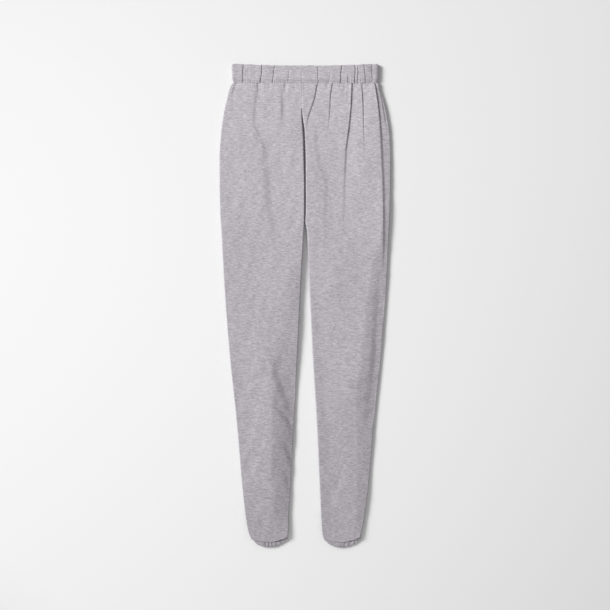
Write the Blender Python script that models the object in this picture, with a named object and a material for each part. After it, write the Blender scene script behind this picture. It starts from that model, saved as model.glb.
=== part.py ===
"""Jogger sweatpants in heather grey fleece, laid flat on a table with the front up.

The waist is at +Y, the hems at -Y, and the wearer's right leg at -X. Every piece that is cut and
sewn is its own wall of cloth: two front panels, two back panels, an elasticated waistband and two
elasticated hem casings. The back panels lie flat on the table, and the front panels lie on them.
"""

import math
from bisect import bisect_right
from collections import namedtuple

import bpy

# Driving dimensions, in metres. A drop is a distance below the waistband's top edge.
LENGTH = 1.0155  # waistband's top edge to the lowest point of a hem
CLOTH = 0.0024  # thickness of the brushed fleece
SEAM_GAP = 0.0003  # between two pieces at a seam
CROTCH_DROP = 0.3300
HEM_DROP = 1.0010  # bottom edge of a front panel, which blouses over its casing
HEM_LIFT = 0.0100  # how much higher that edge is at its +X end

# Waistband: a flattened ring of doubled cloth round its elastic.
BAND_HEIGHT = 0.0380
BAND_WALL = 0.0045
BAND_RISE = 0.0118  # its height above the table
BAND_SLOT = 0.0019  # left open between its front and its back
BAND_DIP = 0.0040  # how much lower its top edge is at the middle
BAND_TOP_ENDS = (-0.1548, 0.1556)  # X of its two ends along the top edge
BAND_SEAM_ENDS = (-0.1525, 0.1545)  # and along its seam

# Hem casings: flattened rings round a narrower elastic, each curved down at its middle.
CASING_HEIGHT = 0.0250
CASING_WALL = 0.0022
CASING_RISE = 0.0049
CASING_SAG = 0.0162
CASING_SAG_POWER = 2.2

# Heights above the table, and the widths over which an edge rounds down to its seam.
SEAM_RISE = 0.0042  # side seams and inseams
CENTRE_RISE = 0.0028  # bottom of the deep fold along the centre front
HEM_RISE = CASING_RISE + SEAM_GAP  # a front panel's edge where it stands on its casing
SHOULDER = 0.0080
CENTRE_SHOULDER = 0.0060
BACK_SHOULDER = 0.0070
HEM_SHOULDER = 0.0075
BAND_SEAM_DIP = 0.0012  # how far the front sinks into the waistband's seam
BAND_SEAM_REACH = 0.0140
LEAST_FRONT = 2 * CLOTH + SEAM_GAP  # a front panel's outer face where it lies on the back
GATHER_DROP = 0.9300  # from here the back panels draw in to the width of their casings
GATHER_LENGTH = 0.0450

# The outline from above: X of each leg's two edges.
Station = namedtuple("Station", "drop right_outer right_inner left_inner left_outer")
OUTLINE = [
    Station(0.038, -0.1495, -0.0060, -0.0060, 0.1540),
    Station(0.052, -0.1585, -0.0063, -0.0063, 0.1572),
    Station(0.075, -0.1640, -0.0063, -0.0063, 0.1640),
    Station(0.100, -0.1700, -0.0060, -0.0060, 0.1702),
    Station(0.150, -0.1765, -0.0025, -0.0025, 0.1780),
    Station(0.200, -0.1796, -0.0010, -0.0010, 0.1798),
    Station(0.300, -0.1785, -0.0006, -0.0006, 0.1785),
    Station(0.330, -0.1770, -0.0008, -0.0002, 0.1775),
    Station(0.352, -0.1755, -0.0022, 0.0040, 0.1764),
    Station(0.452, -0.1700, -0.0078, 0.0084, 0.1716),
    Station(0.603, -0.1586, -0.0151, 0.0155, 0.1600),
    Station(0.754, -0.1428, -0.0231, 0.0246, 0.1445),
    Station(0.905, -0.1296, -0.0311, 0.0315, 0.1313),
    Station(0.955, -0.1233, -0.0340, 0.0340, 0.1240),
    Station(0.981, -0.1176, -0.0344, 0.0361, 0.1193),
    Station(1.001, -0.1092, -0.0363, 0.0420, 0.1134),
]

# Height of the front's outer face, and how far the centre front's edges plunge into their fold.
Level = namedtuple("Level", "drop front centre_plunge")
LEVELS = [
    Level(0.038, 0.0084, 0.00),
    Level(0.060, 0.0086, 0.15),
    Level(0.095, 0.0086, 0.35),
    Level(0.125, 0.0086, 1.00),
    Level(0.300, 0.0084, 1.00),
    Level(0.450, 0.0080, 1.00),
    Level(0.900, 0.0078, 1.00),
    Level(0.960, 0.0086, 1.00),
    Level(1.001, 0.0092, 1.00),
]

# Folds of the front, each a soft trough from (x, drop) to (to_x, to_drop). bow is its sideways
# bend, depth and reach its size, and peak the share of its length where it is deepest.
Fold = namedtuple("Fold", "x drop to_x to_drop bow depth reach peak")
LEFT_GATHERS = [
    Fold(0.0250, 0.040, 0.0080, 0.125, 0.0000, 0.0026, 0.0040, 0.0),
    Fold(0.0540, 0.040, 0.0435, 0.160, -0.0010, 0.0024, 0.0040, 0.0),
    Fold(0.0985, 0.040, 0.0810, 0.330, -0.0030, 0.0036, 0.0045, 0.2),
    Fold(0.1200, 0.040, 0.1230, 0.170, 0.0000, 0.0020, 0.0040, 0.0),
    Fold(0.1480, 0.040, 0.1660, 0.400, 0.0070, 0.0036, 0.0045, 0.3),
]
LEFT_LEG_FOLDS = [
    Fold(0.1660, 0.360, 0.1390, 0.680, -0.0045, 0.0022, 0.0100, 0.3),
    Fold(0.1370, 0.760, 0.1280, 0.900, 0.0000, 0.0014, 0.0080, 0.5),
    Fold(0.0890, 0.830, 0.0560, 0.930, 0.0000, 0.0008, 0.0100, 0.5),
]
RIGHT_FOLDS = [
    Fold(-0.1010, 0.040, -0.0920, 0.180, -0.0040, 0.0010, 0.0070, 0.2),
    Fold(-0.0820, 0.150, -0.0690, 0.370, 0.0000, 0.0012, 0.0090, 0.5),
    Fold(-0.0480, 0.040, -0.0480, 0.150, 0.0000, 0.0010, 0.0060, 0.2),
    Fold(-0.0710, 0.590, -0.0270, 0.722, -0.0060, 0.0026, 0.0090, 0.7),
    Fold(-0.0700, 0.752, -0.0260, 0.722, 0.0000, 0.0024, 0.0090, 0.7),
    Fold(-0.0530, 0.838, -0.0290, 0.765, 0.0000, 0.0022, 0.0090, 0.6),
    Fold(-0.0470, 0.880, -0.0350, 0.835, 0.0000, 0.0016, 0.0080, 0.6),
]

# Creases that the elastic gathers into the waistband's front.
Crease = namedtuple("Crease", "x depth")
BAND_CREASES = [
    Crease(-0.130, 0.0014),
    Crease(-0.093, 0.0012),
    Crease(-0.067, 0.0010),
    Crease(-0.030, 0.0006),
    Crease(0.024, 0.0010),
    Crease(0.073, 0.0014),
    Crease(0.098, 0.0016),
    Crease(0.123, 0.0014),
    Crease(0.142, 0.0012),
]
BAND_CREASE_REACH = 0.0045

Casing = namedtuple("Casing", "name middle half_width")
RIGHT_CASING = Casing("hem_casing_right", -0.0725, 0.0365)
LEFT_CASING = Casing("hem_casing_left", 0.0795, 0.0380)

# One turn of a ring of cloth: share of its width up from the seam or down from the top, share
# of its full rise, how far its ends draw in, and how strong its creases are there.
Turn = namedtuple("Turn", "along rise inset crease")
BAND_TURNS = [
    Turn(0.00, 0.82, 0.0018, 1.0),
    Turn(0.16, 0.96, 0.0006, 1.0),
    Turn(0.50, 1.00, 0.0000, 0.5),
    Turn(0.86, 0.97, 0.0004, 0.8),
    Turn(1.00, 0.86, 0.0016, 0.8),
]
CASING_TURNS = [
    Turn(1.00, 0.88, 0.0004, 0.0),
    Turn(0.85, 1.00, 0.0000, 0.0),
    Turn(0.15, 1.00, 0.0000, 0.0),
    Turn(0.00, 0.88, 0.0004, 0.0),
]
LINING_MARGIN = 0.06  # share of a ring's width between its rim and its flat inside

# How finely the cloth is faceted.
SHOULDER_ANGLES = [0, 30, 60, 90]  # degrees round an edge, from its seam to the flat
RING_END_ANGLES = [60, 20, -20, -60]  # degrees round the end of a flattened ring
LEAST_STEP = 0.0012  # between two columns of a panel
RIGHT_FILL = 13  # columns between the shoulders of the right front
BACK_FILL = 5  # and of each back
RING_COLUMNS = 12
ROW_DROPS = [0.038, 0.044, 0.054, 0.070, 0.090, 0.110, 0.130]
ROW_DROPS += [0.160, 0.195, 0.235, 0.275, 0.305, 0.330, 0.350, 0.375]
ROW_DROPS += [0.430, 0.500, 0.570, 0.615, 0.650, 0.680, 0.705, 0.728, 0.752]
ROW_DROPS += [0.785, 0.820, 0.860, 0.905, 0.940, 0.965]

CLOTH_COLOUR = (0.47, 0.45, 0.48)
CLOTH_ROUGHNESS = 0.95

# How one panel is shaped. edges_of(drop) gives the X of its two edges, edge_of(is_inner, drop)
# the form of an edge, and face_of(x, drop) the heights of its outer and its inner face.
Panel = namedtuple("Panel", "side edges_of edge_of face_of columns_of")
Edge = namedtuple("Edge", "rise plunge shoulder")  # plunge: 0 butts its neighbour, 1 points at it


def smooth(share):
    """0 to 1 with level ends."""
    share = min(1.0, max(0.0, share))
    return share * share * (3 - 2 * share)


def read(rows, column, drop):
    """A column's value at a drop, on a curve through the rows that never overshoots them."""
    drops = [row.drop for row in rows]
    values = [getattr(row, column) for row in rows]
    if drop <= drops[0]:
        return values[0]
    if drop >= drops[-1]:
        return values[-1]
    last = len(rows) - 1
    secants = [(values[i + 1] - values[i]) / (drops[i + 1] - drops[i]) for i in range(last)]

    def slope(i):
        if i in (0, last):
            return secants[min(i, last - 1)]
        before, after = secants[i - 1], secants[i]
        return 2 * before * after / (before + after) if before * after > 0 else 0.0

    i = bisect_right(drops, drop) - 1
    step = drops[i + 1] - drops[i]
    t = (drop - drops[i]) / step
    ends = (2 * t**3 - 3 * t**2 + 1) * values[i] + (3 * t**2 - 2 * t**3) * values[i + 1]
    return ends + step * ((t**3 - 2 * t**2 + t) * slope(i) + (t**3 - t**2) * slope(i + 1))


def y_at(drop):
    """Y of a point at a drop, with the origin at mid length."""
    return LENGTH / 2 - drop


# The outline


def edges(side, drop):
    """The X of a leg's two edges, low then high."""
    inner = read(OUTLINE, side + "_inner", drop)
    outer = read(OUTLINE, side + "_outer", drop)
    if side == "right":
        return outer, inner - SEAM_GAP / 2
    return inner + SEAM_GAP / 2, outer


def back_edges(side, casing, drop):
    """The same for a back panel, which draws in to the width of its casing."""
    low, high = edges(side, drop)
    gathered = smooth((drop - GATHER_DROP) / GATHER_LENGTH)
    low += (casing.middle - casing.half_width - low) * gathered
    high += (casing.middle + casing.half_width - high) * gathered
    return low, high


def past_crotch(drop):
    """0 where a panel's inner edge is on the centre seam, 1 where it is on the leg's inseam."""
    return smooth((drop - CROTCH_DROP) / 0.040)


def front_edge(is_inner, drop):
    near_hem = smooth((drop - GATHER_DROP) / 0.040)
    seam_rise = SEAM_RISE + (HEM_RISE - SEAM_RISE) * near_hem
    if not is_inner:
        return Edge(seam_rise, 1.0, SHOULDER)
    free = past_crotch(drop)
    plunge = read(LEVELS, "centre_plunge", drop)
    butt_rise = read(LEVELS, "front", drop) - band_seam_dip(drop)
    centre_rise = butt_rise + (CENTRE_RISE - butt_rise) * plunge
    rise = centre_rise + (seam_rise - centre_rise) * free
    return Edge(rise, plunge, CENTRE_SHOULDER + (SHOULDER - CENTRE_SHOULDER) * free)


def back_edge(is_inner, drop):
    """A back panel's edge lies flat along the centre seam, and turns up at the others."""
    free = past_crotch(drop) if is_inner else 1.0
    return Edge((SEAM_RISE - SEAM_GAP) * free, free, BACK_SHOULDER)


# Folds


def band_seam_dip(drop):
    return BAND_SEAM_DIP * (1 - smooth((drop - BAND_HEIGHT) / BAND_SEAM_REACH))


def bowed(fold, along):
    """How far a fold stands to the side of its straight line."""
    return 4 * fold.bow * along * (1 - along)


def trough(fold, x, drop):
    """How deep a fold is at a point of the front."""
    run, fall = fold.to_x - fold.x, fold.to_drop - fold.drop
    length = math.hypot(run, fall)
    along = ((x - fold.x) * run + (drop - fold.drop) * fall) / length**2
    if not 0 <= along <= 1:
        return 0.0
    across = ((x - fold.x) * fall - (drop - fold.drop) * run) / length - bowed(fold, along)
    if along < fold.peak:
        strength = smooth(along / fold.peak)
    else:
        strength = smooth((1 - along) / (1 - fold.peak))
    return fold.depth * strength * math.exp(-((across / fold.reach) ** 2))


def front_face(folds):
    """The heights of a front panel's two faces, away from its edges."""

    def face_of(x, drop):
        height = read(LEVELS, "front", drop) - band_seam_dip(drop)
        height = max(LEAST_FRONT, height - sum(trough(fold, x, drop) for fold in folds))
        return height, height - CLOTH

    return face_of


def back_face(_x, _drop):
    return 0.0, CLOTH


def even_columns(fill):
    """Columns that stand evenly between a panel's shoulders."""

    def columns_of(start, end, _low, _high, _drop):
        return [start + (end - start) * (i + 1) / (fill + 1) for i in range(fill)]

    return columns_of


def folded_columns(side, folds):
    """Three columns along each fold: its two flanks and its valley. Past a fold's ends they keep
    their place across the panel."""

    def columns_of(start, end, low, high, drop):
        columns = []
        for fold in folds:
            held = min(fold.to_drop, max(fold.drop, drop))
            along = (held - fold.drop) / (fold.to_drop - fold.drop)
            held_low, held_high = edges(side, held)
            valley = fold.x + (fold.to_x - fold.x) * along + bowed(fold, along)
            valley = low + (high - low) * (valley - held_low) / (held_high - held_low)
            columns += [valley - fold.reach, valley, valley + fold.reach]
        for i, column in enumerate(columns):
            columns[i] = max(column, (columns[i - 1] if i else start) + LEAST_STEP)
        for i in reversed(range(len(columns))):
            ceiling = columns[i + 1] if i + 1 < len(columns) else end
            columns[i] = min(columns[i], ceiling - LEAST_STEP)
        return columns

    return columns_of


# Panels


def section(panel, drop):
    """One row of a panel, edge to edge: (x, z) of its outer face, and of its inner face."""
    low, high = panel.edges_of(drop)
    low_edge = panel.edge_of(panel.side == "left", drop)
    high_edge = panel.edge_of(panel.side == "right", drop)
    start, end = low + low_edge.shoulder, high - high_edge.shoulder
    outer, inner = [], []

    def shoulder(at, sign, edge, angle):
        turn = math.radians(angle)
        across, up = 1 - math.cos(turn), math.sin(turn)
        face, lining = panel.face_of(at + sign * edge.shoulder, drop)
        lining_rise = edge.rise + (lining - face) * (1 - edge.plunge)
        tuck = CLOTH * edge.plunge
        outer.append((at + sign * edge.shoulder * across, edge.rise + (face - edge.rise) * up))
        lining_x = at + sign * (tuck + (edge.shoulder - tuck) * across)
        inner.append((lining_x, lining_rise + (lining - lining_rise) * up))

    for angle in SHOULDER_ANGLES:
        shoulder(low, 1, low_edge, angle)
    for x in panel.columns_of(start, end, low, high, drop):
        face, lining = panel.face_of(x, drop)
        outer.append((x, face))
        inner.append((x, lining))
    for angle in reversed(SHOULDER_ANGLES):
        shoulder(high, -1, high_edge, angle)
    return outer, inner


def level_rows(panel, drops):
    """Rows that run straight across, each at one drop."""
    rows = []
    for drop in drops:
        faces = section(panel, drop)
        rows.append([[(x, y_at(drop), z) for x, z in face] for face in faces])
    return rows


def front_hem_rows(panel):
    """Rows that turn down over the casing, along a bottom edge that rises towards +X."""
    rows = []
    low, high = panel.edges_of(HEM_DROP)
    for angle in (60, 30, 0):
        turn = math.radians(angle)
        back_by = HEM_SHOULDER * (1 - math.cos(turn))
        faces = section(panel, HEM_DROP - back_by)
        row = []
        for face, thickness in zip(faces, (0.0, CLOTH)):
            curve = back_by + thickness * (1 - back_by / HEM_SHOULDER)
            points = []
            for x, z in face:
                share = min(1.0, max(0.0, (x - low) / (high - low)))
                bottom = HEM_DROP - HEM_LIFT * share**3
                points.append((x, y_at(bottom - curve), HEM_RISE + (z - HEM_RISE) * math.sin(turn)))
            row.append(points)
        rows.append(row)
    return rows


def back_hem_rows(panel, casing):
    """The last row of a back panel, along the top edge of its casing."""
    faces = section(panel, GATHER_DROP + GATHER_LENGTH)
    lowest = CASING_HEIGHT + SEAM_GAP
    return [[[(x, y_at(casing_drop(casing, x) - lowest), z) for x, z in face] for face in faces]]


def panel_wall(name, rows, outer_is_up):
    """A closed wall from rows of points on its outer and its inner face."""
    count, width = len(rows), len(rows[0][0])
    vertices = [point for side in (0, 1) for row in rows for point in row[side]]
    lining = count * width
    faces = []
    for r in range(count - 1):
        for c in range(width - 1):
            a, b = r * width + c, r * width + c + 1
            faces.append((a, a + width, b + width, b))
            faces.append((lining + b, lining + b + width, lining + a + width, lining + a))
    rim = [r * width for r in range(count)]
    rim += [(count - 1) * width + c for c in range(1, width)]
    rim += [r * width + width - 1 for r in reversed(range(count - 1))]
    rim += [c for c in reversed(range(1, width - 1))]
    for a, b in zip(rim, rim[1:] + rim[:1]):
        faces.append((b, a, lining + a, lining + b))
    if not outer_is_up:
        faces = [face[::-1] for face in faces]
    return make(name, vertices, faces)


def front_panel(side, folds, columns_of):
    panel = Panel(side, lambda drop: edges(side, drop), front_edge, front_face(folds), columns_of)
    rows = level_rows(panel, ROW_DROPS + [HEM_DROP - HEM_SHOULDER - HEM_LIFT])
    return panel_wall("front_" + side, rows + front_hem_rows(panel), outer_is_up=True)


def back_panel(side, casing):
    panel = Panel(
        side,
        lambda drop: back_edges(side, casing, drop),
        back_edge,
        back_face,
        even_columns(BACK_FILL),
    )
    drops = [drop for drop in ROW_DROPS if drop < GATHER_DROP + GATHER_LENGTH - 0.020]
    rows = level_rows(panel, drops) + back_hem_rows(panel, casing)
    return panel_wall("back_" + side, rows, outer_is_up=False)


# Flattened rings


def flattened_loop(ends, bottom, top, fronts, backs, lower_by):
    """A closed loop of (x, z) across the front, round one end, across the back and round the
    other. lower_by(x) is how deep the front's creases are."""
    radius, middle = (top - bottom) / 2, (top + bottom) / 2
    start, end = ends[0] + radius, ends[1] - radius
    loop = []
    for x in fronts:
        held = min(end, max(start, x))
        loop.append((held, top - lower_by(held)))
    for angle in RING_END_ANGLES:
        turn = math.radians(angle)
        loop.append((end + radius * math.cos(turn), middle + radius * math.sin(turn)))
    for x in reversed(backs):
        loop.append((min(end, max(start, x)), bottom))
    for angle in reversed(RING_END_ANGLES):
        turn = math.radians(angle)
        loop.append((start - radius * math.cos(turn), middle + radius * math.sin(turn)))
    return loop


def ring_wall(name, loops):
    """A closed wall from loops that run over its outside, round its rim and back inside it."""
    around = len(loops[0])
    vertices = [point for loop in loops for point in loop]
    faces = []
    for i in range(len(loops)):
        here, there = i * around, ((i + 1) % len(loops)) * around
        for j in range(around):
            k = (j + 1) % around
            faces.append((here + j, here + k, there + k, there + j))
    return make(name, vertices, faces)


def evenly(low, high, count):
    return [low + (high - low) * i / (count - 1) for i in range(count)]


def uncreased(_x):
    return 0.0


def crease_depth(x):
    return sum(
        crease.depth * math.exp(-(((x - crease.x) / BAND_CREASE_REACH) ** 2))
        for crease in BAND_CREASES
    )


def band_ends(along):
    """The X of the waistband's ends at a share of its width up from the seam."""
    return [seam + (top - seam) * along for seam, top in zip(BAND_SEAM_ENDS, BAND_TOP_ENDS)]


def band_point(x, z, along):
    low, high = BAND_TOP_ENDS
    off_middle = (2 * x - low - high) / (high - low)
    top = BAND_DIP * (1 - off_middle**2)
    seam = BAND_HEIGHT - SEAM_GAP
    return x, y_at(seam + (top - seam) * along), z


def waistband():
    low, high = BAND_TOP_ENDS
    fronts = [
        crease.x + offset
        for crease in BAND_CREASES
        for offset in (-1.4 * BAND_CREASE_REACH, 0.0, 1.4 * BAND_CREASE_REACH)
    ]
    fronts = sorted([low + BAND_RISE / 2, *fronts, high - BAND_RISE / 2])
    backs = evenly(low + BAND_RISE / 2, high - BAND_RISE / 2, RING_COLUMNS)
    loops = []
    for turn in BAND_TURNS:
        start, end = band_ends(turn.along)
        loop = flattened_loop(
            (start + turn.inset, end - turn.inset),
            0.0,
            BAND_RISE * turn.rise,
            fronts,
            backs,
            lambda x, strength=turn.crease: strength * crease_depth(x),
        )
        loops.append([band_point(x, z, turn.along) for x, z in loop])
    for along in (1 - LINING_MARGIN, LINING_MARGIN):
        start, end = band_ends(along)
        loop = flattened_loop(
            (start + BAND_WALL, end - BAND_WALL),
            BAND_WALL,
            BAND_WALL + BAND_SLOT,
            fronts,
            backs,
            uncreased,
        )
        loops.append([band_point(x, z, along) for x, z in loop])
    return ring_wall("waistband", loops)


def casing_drop(casing, x):
    """The drop of a casing's bottom edge."""
    share = min(1.0, abs(x - casing.middle) / casing.half_width)
    return LENGTH - CASING_SAG * share**CASING_SAG_POWER


def casing_point(casing, x, z, along):
    return x, y_at(casing_drop(casing, x) - CASING_HEIGHT * (1 - along)), z


def hem_casing(casing):
    low, high = casing.middle - casing.half_width, casing.middle + casing.half_width
    columns = evenly(low + CASING_RISE / 2, high - CASING_RISE / 2, RING_COLUMNS)
    loops = []
    for turn in CASING_TURNS:
        loop = flattened_loop(
            (low + turn.inset, high - turn.inset),
            0.0,
            CASING_RISE * turn.rise,
            columns,
            columns,
            uncreased,
        )
        loops.append([casing_point(casing, x, z, turn.along) for x, z in loop])
    for along in (LINING_MARGIN, 1 - LINING_MARGIN):
        loop = flattened_loop(
            (low + CASING_WALL, high - CASING_WALL),
            CASING_WALL,
            CASING_RISE - CASING_WALL,
            columns,
            columns,
            uncreased,
        )
        loops.append([casing_point(casing, x, z, along) for x, z in loop])
    return ring_wall(casing.name, loops)


def make(name, vertices, faces):
    """A named object of cloth with its own material."""
    mesh = bpy.data.meshes.new(name)
    mesh.from_pydata(vertices, [], faces)
    mesh.update()
    mesh.shade_smooth()
    mesh.set_sharp_from_angle(angle=math.radians(50))
    material = bpy.data.materials.new(name + "_fleece")
    material.use_nodes = True
    shader = material.node_tree.nodes["Principled BSDF"]
    shader.inputs["Base Color"].default_value = (*CLOTH_COLOUR, 1)
    shader.inputs["Roughness"].default_value = CLOTH_ROUGHNESS
    shader.inputs["Metallic"].default_value = 0
    mesh.materials.append(material)
    made = bpy.data.objects.new(name, mesh)
    bpy.context.scene.collection.objects.link(made)
    return made


def main():
    for old in list(bpy.data.objects):
        bpy.data.objects.remove(old)
    front_panel("right", RIGHT_FOLDS, even_columns(RIGHT_FILL))
    front_panel("left", LEFT_GATHERS + LEFT_LEG_FOLDS, folded_columns("left", LEFT_GATHERS))
    back_panel("right", RIGHT_CASING)
    back_panel("left", LEFT_CASING)
    waistband()
    hem_casing(RIGHT_CASING)
    hem_casing(LEFT_CASING)


main()
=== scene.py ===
"""Looks of the heather grey jogger sweatpants, laid flat with the front up.

Every piece is a thin shell on the form of its CAD solid, with its folds, gathers and seams placed
one by one. The waist is at +Y, and a drop is a distance below the waistband's top edge. Metres.
"""
import math
from collections import namedtuple

import bpy
import numpy as np
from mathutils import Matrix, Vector


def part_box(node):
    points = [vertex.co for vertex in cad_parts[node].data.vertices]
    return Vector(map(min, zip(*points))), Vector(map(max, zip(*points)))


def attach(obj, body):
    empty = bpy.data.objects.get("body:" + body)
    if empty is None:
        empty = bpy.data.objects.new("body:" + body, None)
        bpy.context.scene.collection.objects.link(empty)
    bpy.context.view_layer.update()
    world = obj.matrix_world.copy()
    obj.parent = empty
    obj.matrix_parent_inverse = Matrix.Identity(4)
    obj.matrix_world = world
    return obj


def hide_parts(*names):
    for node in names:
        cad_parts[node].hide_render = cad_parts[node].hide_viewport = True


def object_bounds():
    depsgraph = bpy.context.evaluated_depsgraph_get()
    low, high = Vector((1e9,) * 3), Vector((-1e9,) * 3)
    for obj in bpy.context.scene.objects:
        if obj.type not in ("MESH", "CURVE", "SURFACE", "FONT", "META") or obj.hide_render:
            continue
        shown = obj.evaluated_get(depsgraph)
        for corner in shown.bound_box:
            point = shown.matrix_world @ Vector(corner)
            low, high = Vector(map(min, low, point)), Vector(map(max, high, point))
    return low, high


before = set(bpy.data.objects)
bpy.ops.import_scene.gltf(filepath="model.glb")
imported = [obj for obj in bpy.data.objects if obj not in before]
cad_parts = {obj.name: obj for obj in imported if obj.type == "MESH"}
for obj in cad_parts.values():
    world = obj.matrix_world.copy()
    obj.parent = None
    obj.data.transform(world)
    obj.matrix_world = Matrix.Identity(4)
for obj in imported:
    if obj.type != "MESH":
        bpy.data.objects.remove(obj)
CAD_BOX = [list(corner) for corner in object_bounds()]

# Where two numbers are given for two ends or two sides, the first is for -X and the second for +X.
MM = 0.001
TOP_Y = CAD_BOX[1][1]  # Y of the waistband's top edge
LENGTH = CAD_BOX[1][1] - CAD_BOX[0][1]
CLOTH = 0.0024
SEAM_GAP = 0.0003
CROTCH_DROP = 0.33
CROTCH_SPAN = 0.04  # length below the crotch over which the legs part

SEAM_LOWERED = 0.0036  # how much lower the waist's seam shows than the CAD waistband's lower edge
BAND_HEIGHT = TOP_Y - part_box("waistband")[0].y + SEAM_LOWERED
BAND_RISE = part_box("waistband")[1].z
BAND_WALL = 0.0045
BAND_SLOT = 0.0019  # height of the space inside the ring
BAND_DIP = 0.004  # how far its top edge sags at the middle
BAND_RADII = (0.0022, 0.009)
BAND_TOP_ENDS = (-0.1548, 0.1556)
BAND_SEAM_ENDS = (-0.1525, 0.1545)
BAND_INSET = 0.0148  # how far its ends draw in where it is pinched flat
BAND_CORNER = 0.0045  # how far its top corners are rounded in
CORNER_FROM = 0.87  # share of its height at which a corner starts
CORNER_REACH = 0.02
BAND_FALL = 0.2  # share of its rise that it loses at its +X end
BAND_FALL_FROM = 0.032  # distance from the +X end at which it starts to fall
BAND_FALL_SPAN = 0.024
SEAM_CRACK = 0.0001
STITCH_SHARE = 0.13  # share of the waistband's height at which its stitches run
STITCH_PITCH = 0.0032
STITCH_LENGTH = 0.0023
STITCH_RADIUS = 0.0002
STITCH_MARGINS = (0.006, 0.012)
BACK_STITCH_LIFT = 0.0001

CASING_HEIGHT = 0.025
CASING_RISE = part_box("hem_casing_left")[1].z
CASING_WALL = 0.0022
CASING_RADII = (0.0016, 0.0024)
CASING_INNER_RADII = (0.0003, 0.0003)
CASING_SAGS = (0.0135, 0.0162)  # how far its lower edge hangs below its ends
CASING_SAG_POWERS = (3.2, 2.0)
CASING_SINK = 0.0024  # how far its face sinks behind the hem at its +X end
PLEAT_PITCH = 0.0084
PLEAT_DEPTH = 0.0017
BACK_PLEAT_DEPTH = 0.0008

HEM_LIFT = 0.0026  # how much higher the casings' lower edges show than those of the CAD solids
HEM_DROP = 1.001
HEM_RISE = CASING_RISE + SEAM_GAP
HEM_FACE = 0.009  # height of a front's face at its bottom edge
HEM_FLUSH_FALL = 0.0008  # how far that edge rolls down where it is flush with the casing
HEM_ROLLS = (0.0006, 0.0022)  # length of the edge's roll at -X, and what it gains towards +X
HEM_EVENED = 0.85  # how much of the face's unevenness is gone at the bottom edge
HEM_EVENED_SPAN = 0.03
HEM_PUCKERS = (0.0005, 0.013, 0.03)  # their height, pitch and reach above the hem
FRONT_FOOT = 1.0026  # drop of a front's bottom edge above the middle of its casing
FRONT_ARCHES = (0.005, 0.0095)  # how much higher that edge is at its two ends
FRONT_WAVER = 0.0003
GATHER_DROP = 0.93  # where a leg starts to draw in to its casing
GATHER_LENGTH = 0.045
HEM_SEAM_SPAN = 0.04  # length over which a side seam rises to the casing's height

SEAM_RISE = 0.0042
CENTRE_RISE = 0.0028
CENTRE_FALL = 0.0004  # how far the closed part of the centre seam lies below the face
LEAST_FRONT = 2 * CLOTH + SEAM_GAP
BACK_MOST = 0.0015  # how far the back's underside may lift off the floor
BACK_SHOULDER = 0.007

PUCKER_PITCH = 0.0042
PUCKER_DEPTH = 0.001
PUCKER_REACH = 0.004
PUCKER_LEAN = 0.1
SCALLOP_HEIGHT = 0.0007
SCALLOP_REACH = 0.006
BROAD_PITCH = 0.015
BROAD_DEPTH = 0.0006
BROAD_REACH = 0.034
GATHER_WIDTH = 0.0017
GATHER_SHARE = 0.8  # share of its depth in GATHERS that a gather has

FOLD_FADE = 0.006  # length over which a fold starts and ends
SLIT_WIDTH = 0.0007
CALM_FROM, CALM_SPAN = 0.05, 0.06  # below this drop the cloth's ripples take over from its gathers
CALF_FALL, CALF_FALL_FROM, CALF_FALL_SPAN = 0.002, 0.62, 0.24  # of the left leg
INSEAM_LIFT, INSEAM_LIFT_REACH = 0.0012, 0.016  # of the left leg's inner edge
INSEAM_LIFT_TO, INSEAM_LIFT_FADE = 0.93, 0.06
CENTRE_LIFT, CENTRE_LIFT_REACH = 0.0005, 0.012  # of the left front beside the centre fold

EDGE_STEPS = 9  # points round the turned edge of a panel
FRONT_COLUMNS = 138
BACK_COLUMNS = 74
CROWD_SAMPLES = 600
CROWD_FADE = 0.03
CROWD_WALL = 0.0045  # folds with a wall up to this wide get the most columns
CROWDING = 2.6
BAND_CROWDING = 3.0
BAND_SAMPLES = 1600
BAND_FRONT_COLUMNS = 520
BAND_BACK_COLUMNS = 210
CASING_FRONT_COLUMNS = 220
CASING_BACK_COLUMNS = 100

# Seeds of the random forms, so that every run gives the same cloth.
SEEDS = {
    "waist_puckers": 71, "waist_gathers": 31, "hem_right": 31, "hem_left": 32, "front_hem": 51,
    "back_gathers": 61, "back_ripples": 62, "band_front": 72, "band_back": 73, "band_top": 74,
    "pleats_right": 81, "pleats_left": 82,
}

# How strong the fine puckers and the broad gathers are along the waist's seam.
Strength = namedtuple("Strength", "x fine broad")
STRENGTHS = [
    Strength(-0.16, 0.7, 0.8),
    Strength(-0.05, 0.5, 0.6),
    Strength(0.06, 0.6, 0.7),
    Strength(0.09, 1.2, 1.0),
    Strength(0.16, 1.3, 1.1),
]

# The fronts' ripples: height, wavelengths, how much longer they are along the leg, and seeds.
Ripple = namedtuple("Ripple", "height shortest longest stretch right left")
FRONT_RIPPLES = [
    Ripple(0.00055, 0.07, 0.18, 1.6, 41, 42),
    Ripple(0.00016, 0.02, 0.05, 1.2, 43, 44),
]

# How the fronts part along the centre fold.
RightParting = namedtuple("RightParting", "width middle half_length")
RIGHT_PARTING = RightParting(0.0011, 0.158, 0.062)
LeftParting = namedtuple("LeftParting", "width start opens end closes")
LEFT_PARTING = LeftParting(0.0021, 0.105, 0.035, 0.345, 0.045)

# How far in from its edge a front starts to turn down.
Shoulders = namedtuple("Shoulders", "outer centre inseam")
SHOULDERS = {
    "right": Shoulders(0.0013, 0.0018, 0.0019),
    "left": Shoulders(0.0019, 0.0014, 0.0013),
}

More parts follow.
